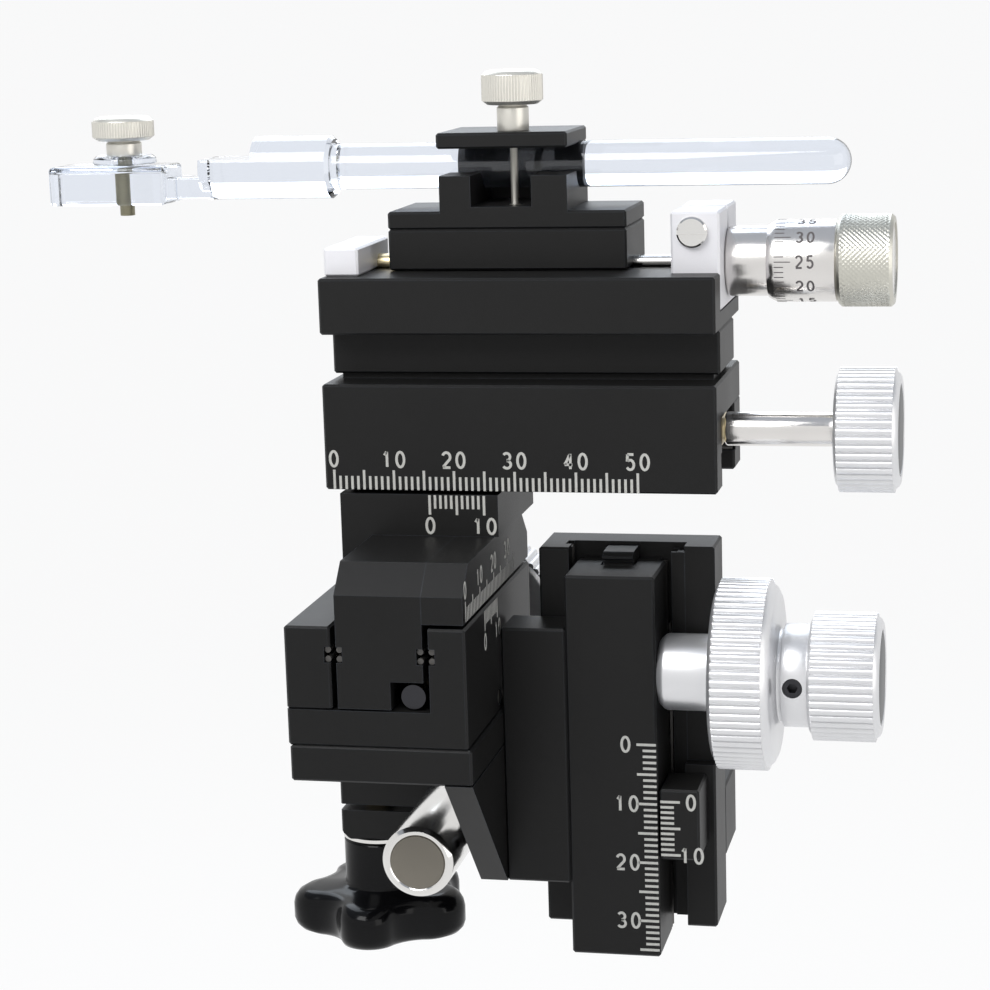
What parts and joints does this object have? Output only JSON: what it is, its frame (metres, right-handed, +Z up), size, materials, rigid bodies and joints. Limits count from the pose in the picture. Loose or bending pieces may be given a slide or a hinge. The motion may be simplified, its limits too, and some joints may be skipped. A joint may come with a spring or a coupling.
{
  "type": "manual micromanipulator",
  "caption": "Three-axis manual micromanipulator with ball-slide stages, a fine X micrometer stage, a rod clamp and a clear tool holder.",
  "frame": {"origin": "on the mounting rod's axis, 10 mm in from its rear end, the middle of a 20 mm grip", "axes": "+Y out of the rod's rear end, along its axis, +Z up along the vertical travel, +X right along the ruled rail"},
  "size_m": [0.1443, 0.091, 0.1512],
  "materials": {
    "black_anodised": "fine blasted black anodising",
    "polished_steel": "ground and polished",
    "dark_steel": "black oxide",
    "silver_knob": "satin turned",
    "satin_chrome": "satin chrome",
    "silver_anodised": "matt silver",
    "brass": "turned",
    "nickel_thumbscrew": "nickel plated, straight knurl",
    "black_plastic": "glossy",
    "clear_acrylic": "clear polished"
  },
  "bodies": {
    "rod": {"mounting_rod": "polished_steel"},
    "clamp": {"rod_clamp_bar": "black_anodised", "z_rail_cap_screws": "dark_steel", "clamp_washer": "polished_steel", "z_rail": "black_anodised", "z_gib": "black_anodised", "z_rail_raceways": "polished_steel", "z_rack": "brass", "z_vernier_block": "black_anodised"},
    "star": {"star_knob": "black_plastic", "clamp_stud": "brass"},
    "z_cage": {"z_ball_cages": "polished_steel"},
    "z_carriage": {"z_slide": "black_anodised", "z_carriage_raceways": "polished_steel", "z_bearing_sleeve": "silver_knob", "z_arm": "black_anodised", "gusset": "black_anodised", "base_plate": "black_anodised", "base_plate_screws": "dark_steel", "y_rail": "black_anodised", "y_gib": "black_anodised", "y_rail_set_screw": "brass", "y_screw_bearing": "brass"},
    "z_drive": {"z_pinion_shaft": "polished_steel", "z_hand_wheel": "silver_knob", "z_wheel_screw": "dark_steel", "z_end_knob": "silver_knob"},
    "y_cage": {"y_ball_cages": "polished_steel"},
    "y_drive": {"y_leadscrew": "polished_steel", "y_knob": "silver_knob"},
    "y_carriage": {"y_slide": "black_anodised", "y_scale_arm": "black_anodised", "y_carriage_raceways": "polished_steel", "y_nut": "brass", "x_saddle": "black_anodised", "x_nut": "brass"},
    "x_cage": {"x_ball_cages": "polished_steel"},
    "x_carriage": {"x_rail": "black_anodised", "x_gib": "black_anodised", "x_gib_screws": "dark_steel", "x_rail_raceways": "polished_steel", "x_screw_bearing": "brass", "neck_plate": "black_anodised", "upper_plate": "black_anodised", "stop_block": "silver_anodised", "micrometer_bracket": "silver_anodised", "bracket_screw": "polished_steel", "micrometer_sleeve": "satin_chrome"},
    "x_drive": {"x_leadscrew": "polished_steel", "x_knob": "silver_knob"},
    "fine_slide": {"fine_platform": "black_anodised", "guide_pin": "brass", "holder_clamp_base": "black_anodised"},
    "micrometer": {"micrometer_thimble": "satin_chrome", "micrometer_spindle": "polished_steel"},
    "jaw": {"holder_clamp_jaw": "black_anodised"},
    "clamp_screw": {"holder_thumbscrew": "nickel_thumbscrew"},
    "holder": {"holder_rod": "clear_acrylic"},
    "tip_screw": {"tip_washer": "nickel_thumbscrew", "tip_thumbscrew": "nickel_thumbscrew"}
  },
  "joints": [
    {"name": "clamp_tilt", "type": "hinge", "parent": "rod", "child": "clamp", "pos_m": [0, -0.0306, 0], "axis": [0, 1, 0], "range_deg": [-90, 90]},
    {"name": "star_turn", "type": "hinge", "parent": "clamp", "child": "star", "pos_m": [-0.0154, -0.0306, -0.0156], "axis": [0, 0, 1], "range_deg": [-180, 180]},
    {"name": "z_travel", "type": "slide", "parent": "clamp", "child": "z_carriage", "axis": [0, 0, 1], "range_m": [-0.0095, 0.0155]},
    {"name": "z_cage_travel", "type": "slide", "parent": "clamp", "child": "z_cage", "axis": [0, 0, 1], "range_m": [-0.00476, 0.00776]},
    {"name": "z_knob_turn", "type": "hinge", "parent": "z_carriage", "child": "z_drive", "pos_m": [0.0442, -0.053, 0.0304], "axis": [1, 0, 0], "range_deg": [-254, 156]},
    {"name": "y_travel", "type": "slide", "parent": "z_carriage", "child": "y_carriage", "axis": [0, 1, 0], "range_m": [-0.01, 0.01]},
    {"name": "y_cage_travel", "type": "slide", "parent": "z_carriage", "child": "y_cage", "axis": [0, 1, 0], "range_m": [-0.00501, 0.00501]},
    {"name": "y_knob_turn", "type": "hinge", "parent": "z_carriage", "child": "y_drive", "pos_m": [0.0045, -0.021, 0.03255], "axis": [0, 1, 0], "range_deg": [-1801, 1801]},
    {"name": "x_travel", "type": "slide", "parent": "y_carriage", "child": "x_carriage", "axis": [1, 0, 0], "range_m": [-0.0212, 0.0158]},
    {"name": "x_cage_travel", "type": "slide", "parent": "y_carriage", "child": "x_cage", "axis": [1, 0, 0], "range_m": [-0.01061, 0.00791]},
    {"name": "x_knob_turn", "type": "hinge", "parent": "x_carriage", "child": "x_drive", "pos_m": [0.0642, -0.04875, 0.0698], "axis": [1, 0, 0], "range_deg": [-2845, 3817]},
    {"name": "fine_travel", "type": "slide", "parent": "x_carriage", "child": "fine_slide", "axis": [1, 0, 0], "range_m": [-0.0032, 0.0068]},
    {"name": "thimble_turn", "type": "hinge", "parent": "fine_slide", "child": "micrometer", "pos_m": [0.0642, -0.041, 0.0959], "axis": [1, 0, 0], "range_deg": [-4896, 2304]},
    {"name": "jaw_lift", "type": "slide", "parent": "fine_slide", "child": "jaw", "axis": [0, 0, 1], "range_m": [0, 0.001]},
    {"name": "clamp_screw_turn", "type": "hinge", "parent": "jaw", "child": "clamp_screw", "pos_m": [0.0147, -0.0424, 0.1194], "axis": [0, 0, 1], "range_deg": [0, 721]},
    {"name": "holder_slide", "type": "slide", "parent": "fine_slide", "child": "holder", "axis": [1, 0, 0], "range_m": [-0.025, 0.018]},
    {"name": "tip_screw_turn", "type": "hinge", "parent": "holder", "child": "tip_screw", "pos_m": [-0.0547, -0.0354, 0.1144], "axis": [0, 0, 1], "range_deg": [-360, 360]}
  ],
  "couplings": [
    {"joint": "z_cage_travel", "follows": "z_travel", "ratio": 0.5},
    {"joint": "z_knob_turn", "follows": "z_travel", "rad_per_m": -285.71},
    {"joint": "y_cage_travel", "follows": "y_travel", "ratio": 0.5},
    {"joint": "y_knob_turn", "follows": "y_travel", "rad_per_m": 3141.6},
    {"joint": "x_cage_travel", "follows": "x_travel", "ratio": 0.5},
    {"joint": "x_knob_turn", "follows": "x_travel", "rad_per_m": -3141.6},
    {"joint": "thimble_turn", "follows": "fine_travel", "rad_per_m": -12566},
    {"joint": "clamp_screw_turn", "follows": "jaw_lift", "rad_per_m": 12566}
  ]
}
